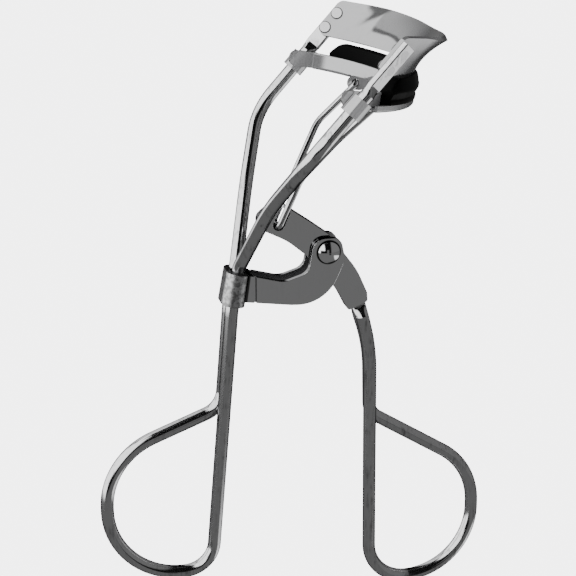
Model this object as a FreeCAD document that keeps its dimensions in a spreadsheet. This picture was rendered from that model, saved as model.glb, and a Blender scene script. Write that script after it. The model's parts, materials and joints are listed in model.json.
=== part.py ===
import FreeCAD, Part
import Sketcher
import math
import os

V = FreeCAD.Vector

doc = FreeCAD.newDocument("eyelash_curler")
sheet = doc.addObject("Spreadsheet::Sheet", "Dimensions")

# Driving dimensions in millimetres and degrees.  Every outline is measured from the lever pivot.
# The two finger loops reach left_reach, right_reach and loop_depth from it to the wire's axis.
DIMENSIONS = [
    ("left_reach", 38.34),
    ("right_reach", 28.01),
    ("loop_depth", 63.62),
    ("wire_dia", 2.3),
    ("guide_half_width", 17.9),
    ("guide_lean_deg", 42.1),
    ("guide_foot_x", -7.44),
    ("guide_foot_z", 20.08),
    ("guide_length", 22.8),
    ("tab_neck", 1.5),
    ("tab_length", 8.0),
    ("tab_width", 2.6),
    ("tab_thick", 1.1),
    ("collar_height", 5.6),
    ("collar_wall", 0.85),
    ("collar_lean_deg", 10.5),
    ("crease_width", 0.4),
    ("crease_depth", 0.45),
    ("arm_thick", 0.85),
    ("arm_gap", 2.7),
    ("lever_thick", 2.6),
    ("slot_width", 2.0),
    ("slot_length", 2.1),
    ("prong_thick", 0.8),
    ("prong_width", 2.5),
    ("prong_length", 3.2),
    ("prong_neck", 1.6),
    ("lever_end_lean_deg", 14.4),
    ("slot_lean_deg", 26.0),
    ("pivot_shank_dia", 2.4),
    ("pivot_head_dia", 3.7),
    ("pivot_head_height", 1.0),
    ("running_gap", 0.05),
    ("seat_gap", 0.01),
    ("jaw_tilt_deg", 9.0),
    ("jaw_radius", 19.2),
    ("jaw_half_width", 17.0),
    ("jaw_end_x", 3.56),
    ("jaw_end_z", 32.68),
    ("upper_thick", 0.7),
    ("upper_height", 7.4),
    ("upper_end_flat", 2.2),
    ("upper_corner", 1.4),
    ("lip_gap", 0.7),
    ("channel_wall", 0.6),
    ("channel_height", 2.8),
    ("channel_width", 2.6),
    ("channel_inset", 1.35),
    ("channel_outer_height", 1.1),
    ("channel_half_angle", 62.0),
    ("pad_proud", 2.35),
    ("pad_half_angle", 54.0),
    ("pad_end_cut", 1.1),
    ("eyelet_length", 3.0),
    ("eyelet_along", 10.7),
    ("eyelet_wall", 0.6),
    ("eyelet_gap", 0.08),
    ("link_dia", 1.15),
    ("link_joint_x", 7.06),
    ("link_joint_z", 26.18),
    ("link_half_width", 8.0),
    ("link_bend_x", 0.2),
    ("link_bend_z", 20.2),
    ("link_bend_half_width", 6.4),
    ("link_fork_x", -4.85),
    ("link_fork_z", 12.8),
    ("lug_thick", 0.7),
    ("button_dia", 2.1),
    ("button_shank_dia", 1.5),
    ("button_edge", 1.5),
    ("button_height", 0.35),
    ("button_pitch", 3.1),
]
for row, (alias, value) in enumerate(DIMENSIONS, start=1):
    sheet.set("A%d" % row, alias)
    sheet.set("B%d" % row, str(value))
    sheet.setAlias("B%d" % row, alias)
PIVOT_X = "(@left_reach - @right_reach) / 2"
PIVOT_Z = "@loop_depth + @wire_dia / 2"
doc.recompute()


def dim(name):
    """Current value of one driving dimension."""
    return float(sheet.get(name))


def bind(item, prop, expression):
    """Drive a property from the sheet; @name in the expression stands for a sheet alias."""
    item.setExpression(prop, expression.replace("@", "Dimensions."))


def pivot_placement():
    """Where the lever pivot sits: loops on the ground plane, width centred on the origin."""
    across = (dim("left_reach") - dim("right_reach")) / 2
    up = dim("loop_depth") + dim("wire_dia") / 2
    return FreeCAD.Placement(V(across, 0, up), FreeCAD.Rotation())


def place_at_pivot(item):
    """Put a finished piece, modelled about the pivot, into the row frame."""
    item.Placement = pivot_placement()
    bind(item, "Placement.Base.x", PIVOT_X)
    bind(item, "Placement.Base.z", PIVOT_Z)


def lean(degrees):
    """Unit vector in the XZ plane that leans to +X from the vertical."""
    angle = math.radians(degrees)
    return V(math.sin(angle), 0, math.cos(angle))


def mirrored(point):
    """The same point on the other side of the XZ plane."""
    return V(point.x, -point.y, point.z)


def rounded_edges(points, radii, closed=False):
    """Straight runs joined by tangent arcs, like a wire bent at each inner point."""
    count = len(points)
    corners = {}
    for i in range(count):
        if not closed and i in (0, count - 1):
            corners[i] = (points[i], None, points[i])
            continue
        here = points[i]
        back = (points[i - 1] - here).normalize()
        ahead = (points[(i + 1) % count] - here).normalize()
        half = 0.5 * back.getAngle(ahead)
        if radii[i] <= 0 or half > 1.5700:
            corners[i] = (here, None, here)
            continue
        run = radii[i] / math.tan(half)
        middle = (back + ahead).normalize() * (radii[i] / math.sin(half) - radii[i])
        corners[i] = (here + back * run, here + middle, here + ahead * run)
    edges = []
    for i in range(count):
        first, top, last = corners[i]
        if top is not None:
            edges.append(Part.Arc(first, top, last))
        if i < count - 1 or closed:
            start = corners[(i + 1) % count][0]
            if (start - last).Length > 1e-6:
                edges.append(Part.LineSegment(last, start))
    return edges


def bent_wire(name, points, radii, diameter):
    """Round wire swept along a bent path; its diameter is a sheet expression."""
    spine = doc.addObject("Part::Feature", name + "_path")
    spine.Shape = Part.Wire([e.toShape() for e in rounded_edges(points, radii)])
    ring = doc.addObject("Part::Circle", name + "_section")
    bind(ring, "Radius", "(%s) / 2" % diameter)
    along = (points[1] - points[0]).normalize()
    ring.Placement = FreeCAD.Placement(points[0], FreeCAD.Rotation(V(0, 0, 1), along))
    sweep = doc.addObject("Part::Sweep", name)
    sweep.Sections = [ring]
    sweep.Spine = (spine, ["Edge%d" % (i + 1) for i in range(len(spine.Shape.Edges))])
    sweep.Solid = True
    sweep.Frenet = False
    return sweep


def origin_plane(body, role):
    """One of the body's own origin planes, found by its role."""
    for feature in body.Origin.OriginFeatures:
        if feature.Role == role:
            return feature
    raise ValueError(role)


def new_body(name):
    body = doc.addObject("PartDesign::Body", name)
    body.Label = name
    return body


def new_sketch(body, name, role="XZ_Plane", offset=None):
    """Sketch on an origin plane of the body."""
    sketch = body.newObject("Sketcher::SketchObject", name)
    sketch.AttachmentSupport = [(origin_plane(body, role), "")]
    sketch.MapMode = "FlatFace"
    if offset is not None:
        sketch.AttachmentOffset = offset
    return sketch


def draw_outline(sketch, points, radii):
    """Closed outline with rounded corners; points are (across, up)."""
    flat = [V(p[0], p[1], 0) for p in points]
    for edge in rounded_edges(flat, radii, closed=True):
        sketch.addGeometry(edge, False)


def draw_circle(sketch, x, y, diameter):
    """Circle with its diameter driven by a sheet expression."""
    index = sketch.addGeometry(Part.Circle(V(x, y, 0), V(0, 0, 1), 1.0), False)
    sketch.addConstraint(Sketcher.Constraint("DistanceX", -1, 1, index, 3, x))
    sketch.addConstraint(Sketcher.Constraint("DistanceY", -1, 1, index, 3, y))
    row = sketch.addConstraint(Sketcher.Constraint("Diameter", index, 2.0))
    bind(sketch, "Constraints[%d]" % row, diameter)


def pad(body, name, sketch, length, midplane=False):
    feature = body.newObject("PartDesign::Pad", name)
    feature.Profile = sketch
    bind(feature, "Length", length)
    feature.SideType = "Symmetric" if midplane else "One side"
    return feature


def pocket(body, name, sketch, length, midplane=True):
    feature = body.newObject("PartDesign::Pocket", name)
    feature.Profile = sketch
    bind(feature, "Length", length)
    feature.SideType = "Symmetric" if midplane else "One side"
    return feature


# Points and directions shared by pieces that meet, measured from the lever pivot.
GUIDE_FOOT = V(dim("guide_foot_x"), dim("guide_half_width"), dim("guide_foot_z"))
GUIDE_AXIS = lean(dim("guide_lean_deg"))
SLOT_FOOT = V(-8.32, 0, 5.09)
SLOT_AXIS = lean(dim("slot_lean_deg"))
LOOP_TOP = V(5.07, 0, -7.47)
LOOP_AXIS = lean(-dim("lever_end_lean_deg"))
HALF_PAIR = dim("wire_dia") / 2
# A fully rounded end has a radius this much under half its width.
ROUND_GAP = 0.005


def guide_point(distance, side=1):
    """Point on a guide wire's axis, measured up its straight run."""
    point = GUIDE_FOOT + GUIDE_AXIS * distance
    return point if side > 0 else mirrored(point)


def jaw_arc_centre():
    """Centre of the arc of the clamping edge, in the XZ plane."""
    across = FreeCAD.Rotation(V(0, 1, 0), dim("jaw_tilt_deg")).multVec(V(1, 0, 0))
    drop = math.sqrt(dim("jaw_radius") ** 2 - dim("jaw_half_width") ** 2)
    return V(dim("jaw_end_x"), 0, dim("jaw_end_z")) - across * drop


def jaw_end_direction():
    """Direction of the clamping edge where it leaves the guide wire and turns to the middle."""
    half = math.asin(dim("jaw_half_width") / dim("jaw_radius"))
    tilt = FreeCAD.Rotation(V(0, 1, 0), dim("jaw_tilt_deg"))
    return tilt.multVec(V(math.sin(half), -math.cos(half), 0))


def tab_normal():
    """Outward normal of the upper jaw's flat end, where the guide wire's tab lies."""
    return GUIDE_AXIS.cross(jaw_end_direction()).normalize()


def flat_ended(name, end, axis, across, shift, neck, length):
    """End of a round wire hammered into a blade.

    The wire ends at `end` and runs along `axis`; the blade is widest along `across`, and its
    middle plane lies `shift` away from the wire's axis.  Returns the neck and the blade.
    """
    normal = axis.cross(across)
    frame = FreeCAD.Rotation(across, normal, axis, "ZXY")
    ring = doc.addObject("Part::Circle", name + "_ring")
    bind(ring, "Radius", "@wire_dia / 2")
    ring.Placement = FreeCAD.Placement(end, frame)
    flat = doc.addObject("Part::Feature", name + "_section")
    w, t = dim(name + "_width") / 2, dim(name + "_thick") / 2
    outline = rounded_edges([V(-w, -t, 0), V(w, -t, 0), V(w, t, 0), V(-w, t, 0)], [0.3] * 4, closed=True)
    flat.Shape = Part.Wire([e.toShape() for e in outline])
    flat.Placement = FreeCAD.Placement(end + axis * neck + shift, frame)
    taper = doc.addObject("Part::Loft", name + "_taper")
    taper.Sections = [ring, flat]
    taper.Solid = True
    blade = doc.addObject("Part::Extrusion", name + "_blade")
    blade.Base = flat
    blade.DirMode = "Custom"
    blade.Dir = axis
    bind(blade, "LengthFwd", length)
    blade.Solid = True
    return [taper, blade]


def button_spots():
    """Centres of the four buttons on the tabs' middle planes, with the outward normals."""
    spots = []
    first = dim("guide_length") - dim("button_edge") - dim("button_pitch")
    for side in (1, -1):
        normal = tab_normal() if side > 0 else mirrored(tab_normal())
        for step in (0, 1):
            spots.append((guide_point(first + step * dim("button_pitch"), side), normal))
    return spots


def drilled(name, base):
    """The base with a hole through it for each button's shank."""
    drills = []
    for spot, normal in button_spots():
        drill = doc.addObject("Part::Cylinder", name + "_drill")
        bind(drill, "Radius", "@button_shank_dia / 2 + @seat_gap")
        bind(drill, "Height", "4 * @tab_thick")
        start = spot - normal * (2 * dim("tab_thick"))
        drill.Placement = FreeCAD.Placement(start, FreeCAD.Rotation(V(0, 0, 1), normal))
        drills.append(drill)
    all_drills = doc.addObject("Part::MultiFuse", name + "_drills")
    all_drills.Shapes = drills
    cut = doc.addObject("Part::Cut", name)
    cut.Base = base
    cut.Tool = all_drills
    return cut


def make_frame_wire():
    """One bent wire: finger loop, both legs and both guide wires with flattened ends."""
    top = guide_point(dim("guide_length") - dim("tab_length") - dim("tab_neck"))
    spread = V(-11.6, 8.5, 10.08)
    collar_top = V(-15.03, HALF_PAIR, -1.75)
    collar_foot = V(-16.39, HALF_PAIR, -9.1)
    half = [top, GUIDE_FOOT, spread, collar_top, collar_foot]
    half_radii = [0, 10, 36, 3, 20]
    bottom, outside = -57.22, -dim("left_reach")
    loop = [
        V(-20.44, -HALF_PAIR, bottom),
        V(outside, -0.5, bottom),
        V(outside, 0.6, -34.95),
        V(-17.91, HALF_PAIR, -27.52),
    ]
    loop_radii = [5.4, 12.7, 12.7, 4.5]
    points = [mirrored(p) for p in half] + loop + half[::-1]
    radii = half_radii + loop_radii + half_radii[::-1]
    pieces = [bent_wire("frame_bend", points, radii, "@wire_dia")]
    across = tab_normal().cross(GUIDE_AXIS)
    for way, end in ((across, top), (mirrored(across), mirrored(top))):
        pieces += flat_ended("tab", end, GUIDE_AXIS, way, V(), dim("tab_neck"), "@tab_length")
    wire = doc.addObject("Part::MultiFuse", "frame_bends")
    wire.Shapes = pieces
    return drilled("frame_wire", wire)


def make_bracket():
    """Folded sheet: a collar round both frame wires and two arms that carry the pivot."""
    body = new_body("bracket")
    arms = new_sketch(body, "arm_outline")
    outline = [(-14.6, -2.8), (-7.6, -4.7), (-3.4, -3.4), (-2.5, 2.4), (2.1, 2.4), (2.9, -1.5),
               (-0.5, -9.2), (-6.5, -8.8), (-14.6, -7.6)]
    draw_outline(arms, outline, [0, 4.0, 2.2, 2.3, 1.7, 3.0, 7.0, 6.0, 0])
    pad(body, "arm_pad", arms, "@arm_gap + 2 * @arm_thick", midplane=True)
    tilt = FreeCAD.Rotation(V(0, 1, 0), dim("collar_lean_deg"))
    middle = V(-15.72, 0, -5.42)
    foot = middle - tilt.multVec(V(0, 0, dim("collar_height") / 2))
    ring = new_sketch(body, "collar_outline", "XY_Plane", FreeCAD.Placement(foot, tilt))
    wall = dim("collar_wall")
    a, b = HALF_PAIR + wall, 2 * HALF_PAIR + wall
    draw_outline(ring, [(-a, -b), (a, -b), (a, b), (-a, b)], [a - ROUND_GAP] * 4)
    pad(body, "collar_pad", ring, "@collar_height")
    gap = new_sketch(body, "arm_gap_outline")
    collar_side, low, high = -12.9, -12, 6
    draw_outline(gap, [(collar_side, low), (high, low), (high, high), (collar_side, high)], [0] * 4)
    pocket(body, "arm_gap_cut", gap, "@arm_gap")
    half = dim("arm_gap") / 2 + dim("arm_thick")
    left = collar_side + 0.15
    right = left + dim("crease_width")
    for number, side in enumerate((1, -1)):
        level = FreeCAD.Placement(V(0, 0, side * half), FreeCAD.Rotation())
        crease = new_sketch(body, "crease_%d" % number, "XZ_Plane", level)
        draw_outline(crease, [(left, low), (right, low), (right, high), (left, high)], [0] * 4)
        pocket(body, "crease_cut_%d" % number, crease, "2 * @crease_depth")
    hole = new_sketch(body, "pivot_hole_outline")
    draw_circle(hole, 0, 0, "@pivot_shank_dia + 2 * @seat_gap")
    pocket(body, "pivot_hole", hole, "@arm_gap + 4 * @arm_thick")
    wires = new_sketch(body, "wire_passage", "XY_Plane", FreeCAD.Placement(foot, tilt))
    a, b = HALF_PAIR + dim("seat_gap"), 2 * HALF_PAIR + dim("seat_gap")
    draw_outline(wires, [(-a, -b), (a, -b), (a, b), (-a, b)], [a - ROUND_GAP] * 4)
    pocket(body, "wire_passage_cut", wires, "4 * @collar_height")
    return body


def make_pivot_rivet():
    """Shank with a domed head on each side of the arms."""
    body = new_body("pivot_rivet")
    half = dim("arm_gap") / 2 + dim("arm_thick") + dim("seat_gap")
    shank, head, dome = dim("pivot_shank_dia") / 2, dim("pivot_head_dia") / 2, dim("pivot_head_height")
    profile = new_sketch(body, "rivet_profile", "XY_Plane")
    skirt = 0.3
    rim = half + skirt
    crown = half + dome
    ball = (head ** 2 + (crown - rim) ** 2) / (2 * (crown - rim))
    turn = math.asin(head / ball) / 2
    bulge = V(ball * math.sin(turn), crown - ball * (1 - math.cos(turn)), 0)
    lines = [
        Part.Arc(V(0, crown, 0), bulge, V(head, rim, 0)),
        Part.LineSegment(V(head, rim, 0), V(head, half, 0)),
        Part.LineSegment(V(head, half, 0), V(shank, half, 0)),
        Part.LineSegment(V(shank, half, 0), V(shank, -half, 0)),
        Part.LineSegment(V(shank, -half, 0), V(head, -half, 0)),
        Part.LineSegment(V(head, -half, 0), V(head, -rim, 0)),
        Part.Arc(V(head, -rim, 0), V(bulge.x, -bulge.y, 0), V(0, -crown, 0)),
        Part.LineSegment(V(0, -crown, 0), V(0, crown, 0)),
    ]
    for line in lines:
        profile.addGeometry(line, False)
    whole_turn = body.newObject("PartDesign::Revolution", "rivet_turn")
    whole_turn.Profile = profile
    whole_turn.ReferenceAxis = (profile, ["V_Axis"])
    whole_turn.Angle = 360
    return body


def make_lever_plate():
    """Boomerang lever: slotted short arm up to the link, a slot for the finger loop below."""
    body = new_body("lever_plate")
    outline = [(0.6, 2.5), (-2.6, 4.9), (-6.4, 7.6), (-8.3, 9.2), (-11.8, 6.4), (-11.6, 4.6),
               (-6.9, 2.2), (-2.9, -1.2), (-0.6, -4.2), (2.1, -7.6), (3.8, -11.0), (7.2, -9.6),
               (7.1, -8.0), (5.2, -3.7), (2.8, -0.5)]
    radii = [2.4, 12, 2.0, 1.4, 1.6, 1.2, 12, 4, 8, 10, 0.5, 0.5, 2.0, 14, 2.6]
    sketch = new_sketch(body, "lever_outline")
    draw_outline(sketch, outline, radii)
    pad(body, "lever_pad", sketch, "@lever_thick", midplane=True)
    doc.recompute()
    room = 1.0
    mouth = dim("prong_length") + room
    tilt = FreeCAD.Rotation(V(0, 1, 0), -dim("lever_end_lean_deg"))
    foot = FreeCAD.Placement(LOOP_TOP - LOOP_AXIS * mouth, tilt)
    cavity = new_sketch(body, "prong_slot", "XY_Plane", foot)
    a, b = dim("prong_width") / 2 + dim("seat_gap"), dim("prong_thick") + 2.5 * dim("seat_gap")
    draw_outline(cavity, [(-a, -b), (a, -b), (a, b), (-a, b)], [0.3] * 4)
    depth = "@prong_length + %g + @seat_gap" % room
    cut = pocket(body, "prong_slot_cut", cavity, depth, midplane=False)
    cut.Reversed = True
    hole = new_sketch(body, "lever_hole_outline")
    draw_circle(hole, 0, 0, "@pivot_shank_dia + 2 * @running_gap")
    pocket(body, "lever_hole", hole, "2 * @lever_thick")
    slot = new_sketch(body, "slot_outline")
    half = dim("slot_width") / 2
    along = SLOT_AXIS
    side = V(along.z, 0, -along.x) * half
    low = SLOT_FOOT - along * half
    high = SLOT_FOOT + along * (dim("slot_length") + half)
    corners = [low - side, low + side, high + side, high - side]
    draw_outline(slot, [(c.x, c.z) for c in corners], [half - ROUND_GAP] * 4)
    pocket(body, "slot_cut", slot, "2 * @lever_thick")
    return body


def make_lever_loop():
    """Finger loop of the lever: one wire with both ends flattened and held in the lever's slot."""
    straight, splay = 11.0, 0.4
    shoulder = LOOP_TOP - LOOP_AXIS * straight
    apart = HALF_PAIR + dim("seat_gap")
    offset = V(0, apart, 0)
    end = LOOP_TOP - LOOP_AXIS * (dim("prong_length") + dim("prong_neck"))
    corners = [
        V(8.32, -apart, -dim("loop_depth")),
        V(dim("right_reach"), -0.5, -dim("loop_depth")),
        V(dim("right_reach"), 0.6, -43.62),
        V(8.51, apart, -31.32),
    ]
    points = [end - offset, shoulder - offset] + corners
    points += [shoulder + offset + V(splay, 0, 0), end + offset - LOOP_AXIS, end + offset]
    pieces = [bent_wire("loop_bend", points, [0, 36, 7.5, 12.2, 12.2, 3.5, 30, 12, 0], "@wire_dia")]
    across = V(LOOP_AXIS.z, 0, -LOOP_AXIS.x)
    for side in (1, -1):
        shift = V(0, side * (dim("prong_thick") / 2 + dim("seat_gap") - apart), 0)
        pieces += flat_ended("prong", end + offset * side, LOOP_AXIS, across, shift,
                             dim("prong_neck"), "@prong_length")
    whole = doc.addObject("Part::MultiFuse", "lever_loop")
    whole.Shapes = pieces
    return whole


def lip_point(angle):
    """Point of the clamping edge at an angle round its arc."""
    tilt = FreeCAD.Rotation(V(0, 1, 0), dim("jaw_tilt_deg"))
    flat = V(dim("jaw_radius") * math.cos(angle), dim("jaw_radius") * math.sin(angle), 0)
    return jaw_arc_centre() + tilt.multVec(flat)


def sheet_wire(half, middle, inward):
    """Symmetric wire: a straight end, a smooth curve over the middle, a straight end."""
    ends = [Part.LineSegment(half[0], half[1]).toShape(),
            Part.LineSegment(mirrored(half[1]), mirrored(half[0])).toShape()]
    curve = Part.BSplineCurve()
    points = half[1:] + [middle] + [mirrored(p) for p in half[:0:-1]]
    curve.interpolate(Points=points, InitialTangent=inward, FinalTangent=mirrored(inward) * -1)
    return Part.Wire([ends[0], curve.toShape(), ends[1]])


def corner_trim(corner, along, up):
    """Prism that rounds one corner of the upper jaw; along and up are the corner's two edges."""
    radius = dim("upper_corner")
    half = 0.5 * along.getAngle(up)
    run = radius / math.tan(half)
    bisector = (along + up).normalize()
    first, last = corner + along * run, corner + up * run
    middle = corner + bisector * (radius / math.sin(half) - radius)
    beyond = corner - bisector
    arc = Part.Arc(first, middle, last).toShape()
    sides = [Part.makeLine(last, beyond), Part.makeLine(beyond, first)]
    face = Part.Face(Part.Wire([arc] + sides))
    through = along.cross(up).normalize() * (2 * dim("upper_thick"))
    face.translate(-through)
    return face.extrude(through * 2)


def make_upper_jaw():
    """Sheet curved round the eye: flat ends on the tabs, a clamping lip below, a flared rim."""
    half = math.asin(dim("jaw_half_width") / dim("jaw_radius"))
    inward = jaw_end_direction()
    margin = 0.15
    corner = lip_point(half) - inward * (dim("tab_width") / 2 + margin)
    rise = GUIDE_AXIS * dim("upper_height")
    low = [corner, lip_point(half)] + [lip_point(half * step) for step in (0.8, 0.6, 0.4, 0.2)]
    high = [corner + rise, corner + rise + inward * dim("upper_end_flat"), V(11.7, 15.3, 37.67),
            V(14.6, 13.6, 37.0), V(16.6, 10.2, 36.5), V(17.7, 5.3, 36.2)]
    middle = [(a + b) * 0.5 for a, b in zip(low, high)]
    tuck = V(-0.5, 0, 0.45)
    middle[2:] = [point + tuck * share for point, share in zip(middle[2:], (0.3, 0.7, 1.0, 1.0))]
    crown = [lip_point(0), V(18.0, 0, 36.0)]
    crown.insert(1, (crown[0] + crown[1]) * 0.5 + tuck)
    wires = [sheet_wire(row, top, inward) for row, top in zip((low, middle, high), crown)]
    surface = Part.makeLoft(wires, False, False)
    back = surface.makeOffsetShape(dim("upper_thick") / 2, 0.001, fill=False)
    solid = back.makeOffsetShape(-dim("upper_thick"), 0.001, fill=True)
    trims = []
    for spot, up in ((corner, GUIDE_AXIS), (corner + rise, -GUIDE_AXIS)):
        trims.append(corner_trim(spot, inward, up))
        trims.append(corner_trim(mirrored(spot), mirrored(inward), up))
    plate = doc.addObject("Part::Feature", "upper_sheet")
    plate.Shape = solid.cut(trims)
    return drilled("upper_jaw", plate)


def make_jaw_buttons():
    """Four buttons that join the upper jaw to the wire tabs: heads inside, ends flush outside."""
    outer = dim("tab_thick") / 2
    inner = outer + dim("upper_thick") + 2 * dim("seat_gap")
    pieces = []
    for spot, normal in button_spots():
        shank = doc.addObject("Part::Cylinder", "button_shank")
        bind(shank, "Radius", "@button_shank_dia / 2")
        shank.Height = inner + outer
        seat = spot - normal * inner
        shank.Placement = FreeCAD.Placement(seat, FreeCAD.Rotation(V(0, 0, 1), normal))
        head = doc.addObject("Part::Cone", "button_head")
        bind(head, "Radius1", "@button_dia / 2")
        bind(head, "Radius2", "@button_dia / 2 - @button_height / 2")
        bind(head, "Height", "@button_height")
        head.Placement = FreeCAD.Placement(seat, FreeCAD.Rotation(V(0, 0, 1), normal * -1))
        pieces += [shank, head]
    whole = doc.addObject("Part::MultiFuse", "jaw_buttons")
    whole.Shapes = pieces
    return whole


def jaw_frame():
    """Placement of the lower jaw: origin at its arc centre at rest, X outward, Z to the lip."""
    tilt = FreeCAD.Rotation(V(0, 1, 0), dim("jaw_tilt_deg"))
    return FreeCAD.Placement(jaw_arc_centre() - GUIDE_AXIS * dim("lip_gap"), tilt)


def to_jaw(point):
    """Pivot-frame point in the lower jaw's own frame."""
    return jaw_frame().inverse().multVec(point)


def turned_arc(body, name, outline, radii, half_angle):
    """Section revolved about the arc's axis, the same angle to both sides."""
    sketch = new_sketch(body, name + "_section")
    draw_outline(sketch, outline, radii)
    turn = body.newObject("PartDesign::Revolution", name + "_turn")
    turn.Profile = sketch
    turn.ReferenceAxis = (sketch, ["V_Axis"])
    bind(turn, "Angle", "2 * " + half_angle)
    turn.Midplane = True
    return turn


def make_lower_jaw():
    """Channel for the pad with a rolled eyelet round each guide wire and two link lugs."""
    body = new_body("lower_jaw")
    wall, inner = dim("channel_wall"), dim("jaw_radius") - dim("channel_inset")
    outer = inner + dim("channel_width")
    edge = -dim("pad_proud")
    floor = edge - dim("channel_height")
    low = floor + dim("channel_outer_height")
    outline = [(inner, floor), (outer, floor), (outer, low), (outer - wall, low),
               (outer - wall, floor + wall), (inner + wall, floor + wall),
               (inner + wall, edge), (inner, edge)]
    turned_arc(body, "channel", outline, [0.5, 0.5, 0, 0, 0, 0, 0.2, 0.2], "@channel_half_angle")
    axis = jaw_frame().inverse().Rotation.multVec(GUIDE_AXIS)
    turn = FreeCAD.Rotation(V(0, 0, 1), axis)
    half = axis * (dim("eyelet_length") / 2)
    spots = [to_jaw(guide_point(dim("eyelet_along"), side)) for side in (1, -1)]
    for number, spot in enumerate(spots):
        barrel = new_sketch(body, "eyelet_%d" % number, "XY_Plane", FreeCAD.Placement(spot - half, turn))
        draw_circle(barrel, 0, 0, "@wire_dia + 2 * @eyelet_gap + 2 * @eyelet_wall")
        pad(body, "eyelet_pad_%d" % number, barrel, "@eyelet_length")
    reach = wall + dim("eyelet_gap") + dim("wire_dia") / 2
    for number, spot in enumerate(spots):
        flap_y = spot.y - math.copysign(reach - wall / 2, spot.y)
        offset = FreeCAD.Placement(V(0, 0, -flap_y), FreeCAD.Rotation())
        flap = new_sketch(body, "flap_%d" % number, "XZ_Plane", offset)
        tip, root = spot.x - reach - 0.2, 9.0
        corners = [(tip, floor + 0.1), (root, floor + 0.1), (root, edge), (tip, edge)]
        draw_outline(flap, corners, [1.2, 0, 0, 1.2])
        pad(body, "flap_pad_%d" % number, flap, "@channel_wall + 0.05", midplane=True)
    joint = to_jaw(V(dim("link_joint_x"), 0, dim("link_joint_z")))
    for number, side in enumerate((1, -1)):
        offset = FreeCAD.Placement(V(0, 0, -side * dim("link_half_width")), FreeCAD.Rotation())
        lug = new_sketch(body, "lug_%d" % number, "XZ_Plane", offset)
        edge_room, root = 1.22, inner - 0.2
        tongue = [(joint.x - edge_room, joint.z - edge_room), (joint.x + 1.0, joint.z - edge_room),
                  (root, floor + 0.05), (root, floor + 0.35),
                  (joint.x - edge_room, joint.z + edge_room)]
        draw_outline(lug, tongue, [1.1, 1.0, 0, 0, 1.1])
        pad(body, "lug_pad_%d" % number, lug, "@lug_thick", midplane=True)
    for number, spot in enumerate(spots):
        bore = new_sketch(body, "bore_%d" % number, "XY_Plane", FreeCAD.Placement(spot, turn))
        draw_circle(bore, 0, 0, "@wire_dia + 2 * @eyelet_gap")
        pocket(body, "eyelet_bore_%d" % number, bore, "6 * @eyelet_length")
    hole = new_sketch(body, "joint_hole")
    draw_circle(hole, joint.x, joint.z, "@link_dia + 2 * @running_gap")
    pocket(body, "joint_hole_cut", hole, "3 * @link_half_width")
    return body


def make_lash_pad():
    """Rubber strip seated in the channel, bulging over its low outer wall."""
    body = new_body("lash_pad")
    gap = dim("seat_gap")
    wall, inner = dim("channel_wall"), dim("jaw_radius") - dim("channel_inset")
    outer = inner + dim("channel_width")
    edge = -dim("pad_proud")
    floor = edge - dim("channel_height") + wall + gap
    low = floor - wall + dim("channel_outer_height")
    outline = [(inner + wall + gap, floor), (outer - wall - gap, floor), (outer - wall - gap, low),
               (outer + 0.15, low), (outer + 0.4, 0.5 * low), (outer - 0.2, 0),
               (inner + 0.2, 0), (inner + 0.2, edge + gap), (inner + wall + gap, edge + gap)]
    radii = [0, 0, 0, 0.3, 2.0, 1.0, 0.4, 0, 0]
    turned_arc(body, "pad", outline, radii, "@pad_half_angle")
    cut = dim("pad_end_cut")
    for number, side in enumerate((1, -1)):
        turn = FreeCAD.Rotation(V(0, 1, 0), side * dim("pad_half_angle"))
        slope = new_sketch(body, "pad_end_%d" % number, "YZ_Plane", FreeCAD.Placement(V(), turn))
        above, deep = 0.1, -1.6 * cut
        corners = [(-side * cut, above), (side * cut, above), (side * cut, deep), (side * 0.1, deep)]
        draw_outline(slope, corners, [0] * 4)
        pocket(body, "pad_end_cut_%d" % number, slope, "3 * @jaw_radius")
    return body


def make_push_link():
    """Wire link: its middle lies in the lever slot, its ends turn out into the jaw's lugs."""
    bar = SLOT_FOOT - SLOT_AXIS * (dim("slot_width") / 2 - dim("link_dia") / 2 - dim("running_gap"))
    joint = V(dim("link_joint_x"), 0, dim("link_joint_z"))
    leg = dim("lever_thick") / 2 + dim("link_dia") / 2 + 0.15
    half = [
        joint + V(0, dim("link_half_width") + 1.1, 0),
        joint + V(0, dim("link_half_width") - 1.0, 0),
        V(dim("link_bend_x"), dim("link_bend_half_width"), dim("link_bend_z")),
        V(dim("link_fork_x"), leg, dim("link_fork_z")),
        bar + V(0, leg, 0),
    ]
    radii = [0, 0.7, 5.0, 4.0, 0.9]
    points = half + [mirrored(p) for p in half[::-1]]
    return bent_wire("push_link", points, radii + radii[::-1], "@link_dia")


PIECES = {
    "frame_wire": make_frame_wire,
    "bracket": make_bracket,
    "pivot_rivet": make_pivot_rivet,
    "upper_jaw": make_upper_jaw,
    "jaw_buttons": make_jaw_buttons,
    "lever_plate": make_lever_plate,
    "lever_loop": make_lever_loop,
    "lower_jaw": make_lower_jaw,
    "lash_pad": make_lash_pad,
    "push_link": make_push_link,
}


def build():
    """Model, place, check and write every piece."""
    items = {}
    for name, maker in PIECES.items():
        items[name] = maker()
        items[name].Label = name
    doc.recompute()
    for name, item in items.items():
        if name in ("lower_jaw", "lash_pad"):
            item.Placement = pivot_placement().multiply(jaw_frame())
        else:
            place_at_pivot(item)
    doc.recompute()
    for item in doc.Objects:
        if "Invalid" in item.State or "Error" in item.State:
            raise RuntimeError("%s is %s" % (item.Label, item.State))
    os.makedirs("parts", exist_ok=True)
    for name, item in items.items():
        shape = item.Shape
        if shape.isNull() or not shape.isValid():
            raise RuntimeError(name + " has no valid shape")
        shape.exportStep("parts/%s.step" % name)


build()
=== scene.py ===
import json
import math

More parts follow.
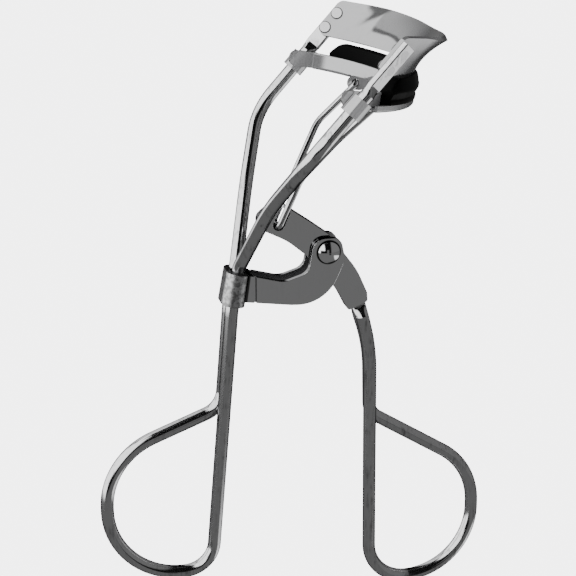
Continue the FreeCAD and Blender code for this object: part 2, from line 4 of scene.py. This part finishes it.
import bmesh
import bpy
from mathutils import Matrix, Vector


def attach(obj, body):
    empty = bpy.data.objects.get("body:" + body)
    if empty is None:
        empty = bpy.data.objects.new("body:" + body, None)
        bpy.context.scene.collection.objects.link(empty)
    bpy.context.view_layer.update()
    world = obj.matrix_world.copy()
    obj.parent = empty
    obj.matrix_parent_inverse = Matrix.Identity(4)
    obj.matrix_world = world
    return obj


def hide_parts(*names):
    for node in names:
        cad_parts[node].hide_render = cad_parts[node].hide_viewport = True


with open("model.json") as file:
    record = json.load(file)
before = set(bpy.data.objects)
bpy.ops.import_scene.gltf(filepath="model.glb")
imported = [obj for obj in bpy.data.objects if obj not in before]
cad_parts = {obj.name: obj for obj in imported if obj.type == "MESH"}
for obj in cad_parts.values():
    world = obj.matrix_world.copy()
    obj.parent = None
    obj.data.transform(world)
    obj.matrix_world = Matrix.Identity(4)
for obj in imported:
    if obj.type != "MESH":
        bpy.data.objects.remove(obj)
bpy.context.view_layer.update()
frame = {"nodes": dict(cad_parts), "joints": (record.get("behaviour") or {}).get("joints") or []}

MM = 0.001

# Camera: the object's middle, seen from the front, a little to the left and above.
TARGET = Vector((-0.001275, 0.0, 0.05825))
CAMERA_DISTANCE = 0.265
CAMERA_AZIMUTH = math.radians(-14.0)
CAMERA_ELEVATION = math.radians(19.5)
SENSOR_WIDTH = 36.0
FOCAL_LENGTH = 98.546875

# Brightness of the plain floor and backdrop as the camera sees them.
PALE = 5.0

# The lower jaw's arc, in millimetres: its centre is measured from the lever's pivot.
PIVOT = Vector(next(j["pos_m"] for j in frame["joints"] if j["name"] == "lever_pivot")) / MM
JAW_CENTRE = PIVOT + Vector((-5.722, 0.0, 33.557))
JAW_TILT = math.radians(9.0)
CHANNEL_RADIUS = 17.85
CHANNEL_WIDTH = 2.6
CHANNEL_WALL = 0.6
CHANNEL_OUTER_WALL = 0.5
PAD_CLEARANCE = 0.02
PAD_PROUD = 2.35
PAD_HEIGHT = 4.53
PAD_HALF_ANGLE = math.radians(53.9)
PAD_END_DROP = 1.75
PAD_END_SLOPE = 2.0

# The collar's right-hand edge in millimetres, at the height of the collar's middle, and its lean.
COLLAR_EDGE = PIVOT.x - 13.95
COLLAR_LEVEL = PIVOT.z - 5.4
COLLAR_LEAN = math.tan(math.radians(8.0))


# ---------------------------------------------------------------- mesh helpers

def jaw_point(radius, up, angle):
    """Point of the lower jaw in metres: radius and angle about its arc's centre, up along its axis."""
    across = radius * math.cos(angle)
    x = across * math.cos(JAW_TILT) + up * math.sin(JAW_TILT)
    z = -across * math.sin(JAW_TILT) + up * math.cos(JAW_TILT)
    return (JAW_CENTRE + Vector((x, radius * math.sin(angle), z))) * MM


def add_piece(name, mesh, material, sharp_angle=math.radians(35)):
    """Turn a bmesh into a smooth-shaded object whose sharp edges stay sharp."""
    data = bpy.data.meshes.new(name)
    mesh.to_mesh(data)
    mesh.free()
    data.materials.append(material)
    data.shade_smooth()
    data.set_sharp_from_angle(angle=sharp_angle)
    piece = bpy.data.objects.new(name, data)
    bpy.context.scene.collection.objects.link(piece)
    return piece


# ---------------------------------------------------------------- node helpers

class Nodes:
    """Short way to add and join shader nodes."""

    def __init__(self, tree):
        self.tree = tree
        tree.nodes.clear()

    def add(self, kind, values=None, **settings):
        """Add a node; values sets its inputs, by name or number."""
        node = self.tree.nodes.new(kind)
        for name, value in settings.items():
            setattr(node, name, value)
        for name, value in (values or {}).items():
            if isinstance(value, bpy.types.NodeSocket):
                self.tree.links.new(value, node.inputs[name])
            else:
                node.inputs[name].default_value = value
        return node

    def link(self, source, target):
        self.tree.links.new(source, target)

    def ramp(self, value, low, high, out_low=0.0, out_high=1.0):
        """Smooth step of a value from out_low to out_high."""
        node = self.add("ShaderNodeMapRange", {0: value, 1: low, 2: high, 3: out_low, 4: out_high})
        node.interpolation_type = "SMOOTHSTEP"
        return node.outputs[0]

    def maths(self, operation, first, second=0.0):
        return self.add("ShaderNodeMath", {0: first, 1: second}, operation=operation).outputs[0]

    def product(self, first, *others):
        """Product of masks."""
        for other in others:
            first = self.maths("MULTIPLY", first, other)
        return first

    def gap(self, value, middle):
        """Distance of a value from a middle."""
        return self.maths("ABSOLUTE", self.maths("SUBTRACT", value, middle))

    def mix(self, share, first, second):
        """Mix of two numbers."""
        node = self.add("ShaderNodeMix", {0: share, 2: first, 3: second}, data_type="FLOAT")
        return node.outputs[0]

    def blend(self, share, first, second):
        """Mix of two colours."""
        node = self.add("ShaderNodeMix", {0: share, 6: first, 7: second}, data_type="RGBA")
        return node.outputs[2]


def grey(value):
    """Grey with a trace of blue."""
    return (value, value, value * 1.01, 1.0)


def new_material(name):
    """Empty node material and its Nodes helper."""
    material = bpy.data.materials.new(name)
    material.use_nodes = True
    return material, Nodes(material.node_tree)


# ---------------------------------------------------------------- materials

def plated_metal(name, light, smudge, metallic=1.0, roughness=0.07, corner=0.0, pitting=0.02,
                 wear_and_painted_shade_at=None):
    """Nickel plate with painted shade darkening it toward its outline, and with smudges, streaks and tiny
    pits.

    corner is the radius in millimetres that sharp corners are shaded with.
    wear_and_painted_shade_at gives two masks from the place on the object: where it is worn dull, and
    where painted shade darkens it.
    """
    material, n = new_material(name)
    where = n.add("ShaderNodeTexCoord").outputs["Object"]
    cloud = n.add("ShaderNodeTexNoise", {
        "Vector": where, "Scale": 420.0, "Detail": 5.0, "Roughness": 0.6})
    stretched = n.add("ShaderNodeMapping", {"Vector": where, "Scale": (1.0, 1.0, 0.12)})
    hair = n.add("ShaderNodeTexNoise", {
        "Vector": stretched.outputs[0], "Scale": 2200.0, "Detail": 3.0})
    pits = n.add("ShaderNodeTexNoise", {"Vector": where, "Scale": 1500.0, "Detail": 2.0})
    stain = n.ramp(cloud.outputs["Fac"], 0.40, 0.68)
    streak = n.ramp(hair.outputs["Fac"], 0.42, 0.72)
    marks = n.product(stain, streak, smudge)
    facing = n.add("ShaderNodeLayerWeight", {"Blend": 0.5}).outputs["Facing"]
    # painted shade: the colour darkens toward the outline, where the surface turns away from the camera
    outline = n.ramp(facing, 0.40, 0.82, 0.0, 0.72)
    colour = n.blend(marks, grey(light), grey(0.35 * light))
    colour = n.blend(outline, colour, grey(0.15 * light))
    rough = n.maths("ADD", roughness, n.maths("MULTIPLY", marks, 0.06))
    if wear_and_painted_shade_at:
        worn, dark = wear_and_painted_shade_at(n)
        speckle = n.product(worn, n.ramp(pits.outputs["Fac"], 0.40, 0.62, 0.35, 0.85))
        colour = n.blend(speckle, colour, grey(0.25 * light))
        # painted shade: the dark mask blends near-black shade into the colour
        colour = n.blend(dark, colour, grey(0.01))
        rough = n.maths("ADD", rough, n.maths("MULTIPLY", worn, 0.28))
    bump = n.add("ShaderNodeBump", {
        "Height": pits.outputs["Fac"], "Strength": pitting, "Distance": 0.03 * MM})
    if corner:
        softened = n.add("ShaderNodeBevel", {"Radius": corner * MM}, samples=6)
        n.link(softened.outputs[0], bump.inputs["Normal"])
    metal = n.add("ShaderNodeBsdfPrincipled", {
        "Base Color": colour, "Metallic": metallic, "Roughness": rough, "Specular Tint": grey(0.15),
        "Normal": bump.outputs[0]})
    out = n.add("ShaderNodeOutputMaterial")
    n.link(metal.outputs[0], out.inputs[0])
    return material


def bracket_wear_and_painted_shade(n):
    """The bracket is worn dull on its collar; painted shade darkens a line beside the collar, standing in
    for a crease, and a ring round the rivet's head, standing in for the shadow at its seat.
    """
    place = n.add("ShaderNodeNewGeometry").outputs["Position"]
    x, y, z = n.add("ShaderNodeSeparateXYZ", {0: place}).outputs
    height = n.maths("SUBTRACT", z, COLLAR_LEVEL * MM)
    across = n.maths("SUBTRACT", x, n.maths("MULTIPLY", height, COLLAR_LEAN))
    worn = n.ramp(across, COLLAR_EDGE * MM, (COLLAR_EDGE - 0.4) * MM)
    # painted shade: a dark line along the collar's right-hand edge, in place of the shade in a crease
    painted_crease_shade = n.ramp(n.gap(across, COLLAR_EDGE * MM), 0.42 * MM, 0.22 * MM)
    in_plane = n.add("ShaderNodeCombineXYZ", {"X": x, "Z": z}).outputs[0]
    centre = (PIVOT.x * MM, 0.0, PIVOT.z * MM)
    reach = n.add("ShaderNodeVectorMath", {0: in_plane, 1: centre}, operation="DISTANCE")
    # painted shade: a dark ring round the rivet's head, in place of the shadow at its seat
    painted_rivet_shade = n.ramp(reach.outputs["Value"], 2.20 * MM, 2.02 * MM)
    return worn, n.maths("MAXIMUM", painted_rivet_shade, n.maths("MULTIPLY", painted_crease_shade, 0.9))


def black_rubber(name):
    """Smooth moulded rubber with a faint bloom and a fine grain."""
    material, n = new_material(name)
    where = n.add("ShaderNodeTexCoord").outputs["Object"]
    bloom = n.add("ShaderNodeTexNoise", {"Vector": where, "Scale": 320.0, "Detail": 4.0})
    grain = n.add("ShaderNodeTexNoise", {"Vector": where, "Scale": 4200.0, "Detail": 2.0})
    colour = n.blend(n.ramp(bloom.outputs["Fac"], 0.45, 0.75), grey(0.0006), grey(0.0015))
    rough = n.ramp(bloom.outputs["Fac"], 0.3, 0.8, 0.42, 0.55)
    bump = n.add("ShaderNodeBump", {
        "Height": grain.outputs["Fac"], "Strength": 0.10, "Distance": 0.04 * MM})
    rubber = n.add("ShaderNodeBsdfPrincipled", {
        "Base Color": colour, "Roughness": rough, "Specular IOR Level": 0.03, "Normal": bump.outputs[0]})
    out = n.add("ShaderNodeOutputMaterial")
    n.link(rubber.outputs[0], out.inputs[0])
    return material


def dress(node, material):
    """Give a CAD node a new material in its own slots."""
    mesh = frame["nodes"][node].data
    if not mesh.materials:
        mesh.materials.append(material)
    for index in range(len(mesh.materials)):
        mesh.materials[index] = material


# ---------------------------------------------------------------- rubber pad

def rounded_outline(points, steps=5):
    """Closed outline with rounded corners from (across, up, radius) points."""
    outline = []
    for i, (across, up, radius) in enumerate(points):
        here = Vector((across, up))
        back = Vector(points[i - 1][:2]) - here
        ahead = Vector(points[(i + 1) % len(points)][:2]) - here
        half = 0.5 * back.angle(ahead)
        run = radius / math.tan(half)
        first, last = here + back.normalized() * run, here + ahead.normalized() * run
        if radius <= 0.0:
            outline.append(here)
            continue
        for step in range(steps + 1):
            share = step / steps
            turn = 2 * share * (1 - share)
            outline.append(((1 - share) ** 2) * first + turn * here + share ** 2 * last)
    return outline


def make_pad(material):
    """Rubber pad in its channel: a bulging strip with a foot flange, swept along the jaw's arc."""
    wall_in = CHANNEL_RADIUS + CHANNEL_WALL + PAD_CLEARANCE
    wall_out = CHANNEL_RADIUS + CHANNEL_WIDTH - CHANNEL_WALL - PAD_CLEARANCE
    rim = CHANNEL_RADIUS + CHANNEL_WIDTH
    floor = -PAD_HEIGHT
    flange = floor + CHANNEL_OUTER_WALL
    lip = -PAD_PROUD + PAD_CLEARANCE
    back = CHANNEL_RADIUS + 0.2
    in_channel = [(wall_in, floor, 0.1), (wall_out, floor, 0.1), (wall_out, flange, 0.0)]
    foot = [(rim + 0.10, flange, 0.12), (rim + 0.12, flange + 0.55, 0.1),
            (rim - 0.12, flange + 0.75, 0.12)]
    bulge = [(rim + 0.42, 0.48 * flange, 0.9), (rim - 0.15, 0.0, 0.55)]
    behind = [(back, 0.0, 0.4), (back, lip, 0.05), (wall_in, lip, 0.0)]
    outline = rounded_outline(in_channel + foot + bulge + behind)
    mesh = bmesh.new()
    rings = []
    count = 96
    swell_at_middle = 0.10
    for i in range(count + 1):
        angle = PAD_HALF_ANGLE * (2 * i / count - 1)
        inset = (PAD_HALF_ANGLE - abs(angle)) * CHANNEL_RADIUS
        drop = PAD_END_DROP * max(0.0, 1 - inset / PAD_END_SLOPE) ** 1.5
        swell = swell_at_middle * math.cos(angle) ** 2
        ring = []
        for across, up in outline:
            if up > -PAD_PROUD:
                up = max(-PAD_PROUD, up - drop * (up + PAD_PROUD) / PAD_PROUD)
            if across > rim:
                across += swell * (across - rim)
            ring.append(mesh.verts.new(jaw_point(across, up, angle)))
        rings.append(ring)
    for first, second in zip(rings, rings[1:]):
        for k in range(len(first)):
            after = (k + 1) % len(first)
            mesh.faces.new((first[k], first[after], second[after], second[k]))
    mesh.faces.new(rings[0])
    mesh.faces.new(reversed(rings[-1]))
    bmesh.ops.recalc_face_normals(mesh, faces=mesh.faces)
    pad = add_piece("rubber_pad", mesh, material)
    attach(pad, "jaw")
    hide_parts("lash_pad")
    return pad


# ---------------------------------------------------------------- studio

def make_floor():
    """Pale floor: plain for the camera, and unseen in the plated metal."""
    bpy.ops.mesh.primitive_plane_add(size=6.0)
    floor = bpy.context.object
    floor.name = "floor"
    material, n = new_material("pale_floor")
    paths = n.add("ShaderNodeLightPath")
    matt = n.add("ShaderNodeBsdfDiffuse", {"Color": grey(0.9)})
    pale = n.add("ShaderNodeEmission", {"Color": grey(1.0), "Strength": PALE})
    seen = n.add("ShaderNodeMixShader", {
        0: paths.outputs["Is Camera Ray"], 1: matt.outputs[0], 2: pale.outputs[0]})
    out = n.add("ShaderNodeOutputMaterial")
    n.link(seen.outputs[0], out.inputs[0])
    floor.data.materials.append(material)
    floor.visible_glossy = False


def make_world():
    """Pale studio seen by the camera; the plated metal mirrors a room with one large soft window."""
    world = bpy.data.worlds.new("studio")
    bpy.context.scene.world = world
    world.use_nodes = True
    n = Nodes(world.node_tree)
    axes = n.add("ShaderNodeSeparateXYZ", {0: n.add("ShaderNodeTexCoord").outputs["Generated"]})
    x, y, z = axes.outputs
    ground, dark, window, rear_window, post, far_wall, card = 0.215, 0.005, 3.4, 1.5, 0.03, 0.26, 1.9

    # The window is on the left: dimmer toward the rear, behind a dark upright post.
    above = n.ramp(z, -0.27, -0.17)
    rear = n.product(n.ramp(y, 0.12, 0.26), n.ramp(z, -0.14, -0.04))
    glass = n.mix(n.product(rear, n.ramp(x, -0.60, -0.54)), window, rear_window)
    glass = n.mix(n.product(rear, n.ramp(n.gap(x, -0.57), 0.06, 0.02)), glass, post)
    leftward = n.maths("SUBTRACT", n.maths("MULTIPLY", y, 0.6), x)
    level = n.mix(above, ground, dark)
    level = n.mix(n.product(above, n.ramp(leftward, 0.33, 0.48)), level, glass)

    # It reaches round to the front left, and the right-hand wall is grey.
    front = n.product(n.ramp(y, -0.18, -0.34), n.ramp(x, -0.32, -0.42))
    front = n.product(front, n.ramp(z, 0.02, 0.14), n.ramp(z, 0.92, 0.82))
    level = n.mix(front, level, window)
    level = n.mix(n.product(above, n.ramp(x, 0.30, 0.46)), level, far_wall)

    # Straight ahead is a small grey patch, and low on the right a bright card.
    ahead = n.product(n.ramp(z, 0.22, 0.12), n.ramp(n.gap(x, 0.0), 0.16, 0.09))
    ahead = n.product(ahead, n.ramp(y, -0.90, -0.96), above)
    level = n.mix(ahead, level, ground)
    level = n.mix(n.product(n.ramp(x, 0.58, 0.68), n.ramp(z, -0.48, -0.56)), level, card)

    paths = n.add("ShaderNodeLightPath")
    mirrored = n.add("ShaderNodeBackground", {"Color": level, "Strength": 1.0})
    soft = n.add("ShaderNodeBackground", {"Color": grey(1.0), "Strength": 1.0})
    pale = n.add("ShaderNodeBackground", {"Color": grey(1.0), "Strength": PALE})
    room = n.add("ShaderNodeMixShader", {
        0: paths.outputs["Is Glossy Ray"], 1: soft.outputs[0], 2: mirrored.outputs[0]})
    seen = n.add("ShaderNodeMixShader", {
        0: paths.outputs["Is Camera Ray"], 1: room.outputs[0], 2: pale.outputs[0]})
    out = n.add("ShaderNodeOutputWorld")
    n.link(seen.outputs[0], out.inputs[0])


def make_light(name, place, size, power):
    """Soft square light aimed at the object."""
    data = bpy.data.lights.new(name, "AREA")
    data.size = size
    data.energy = power
    light = bpy.data.objects.new(name, data)
    bpy.context.scene.collection.objects.link(light)
    light.location = place
    light.rotation_euler = (TARGET - Vector(place)).to_track_quat("-Z", "Y").to_euler()
    light.visible_glossy = False


def make_camera():
    """Camera at the object's front left, a little above it."""
    level = math.cos(CAMERA_ELEVATION)
    toward = Vector((math.sin(CAMERA_AZIMUTH) * level, -math.cos(CAMERA_AZIMUTH) * level,
                     math.sin(CAMERA_ELEVATION)))
    data = bpy.data.cameras.new("camera")
    data.sensor_width = SENSOR_WIDTH
    data.lens = FOCAL_LENGTH
    camera = bpy.data.objects.new("camera", data)
    bpy.context.scene.collection.objects.link(camera)
    camera.location = TARGET + toward * CAMERA_DISTANCE
    camera.rotation_euler = (-toward).to_track_quat("-Z", "Y").to_euler()
    bpy.context.scene.camera = camera


# ---------------------------------------------------------------- build

smooth = 0.003
wire_nickel = plated_metal("wire_nickel", 0.50, 0.9, roughness=0.12, pitting=0.015)
plate_nickel = plated_metal("plate_nickel", 0.62, 0.08, corner=0.1, pitting=0.008)
jaw_nickel = plated_metal("jaw_nickel", 0.28, 0.12, 0.74, 0.08, pitting=smooth)
button_nickel = plated_metal("button_nickel", 0.38, 0.12, 0.9, 0.08, pitting=smooth)
channel_nickel = plated_metal("channel_nickel", 0.33, 0.12, 0.66, 0.10, pitting=smooth)
bracket_nickel = plated_metal("bracket_nickel", 0.62, 0.08, corner=0.1, wear_and_painted_shade_at=bracket_wear_and_painted_shade)
rubber = black_rubber("black_rubber")

for wire_node in ("frame_wire", "lever_loop", "push_link"):
    dress(wire_node, wire_nickel)
for plate_node in ("pivot_rivet", "lever_plate"):
    dress(plate_node, plate_nickel)
dress("bracket", bracket_nickel)
dress("upper_jaw", jaw_nickel)
dress("jaw_buttons", button_nickel)
dress("lower_jaw", channel_nickel)
make_pad(rubber)

make_floor()
make_world()
make_light("key_light", (-0.35, -0.45, 0.65), 0.5, 6.0)
make_light("fill_light", (0.5, -0.3, 0.35), 0.5, 3.0)
make_camera()
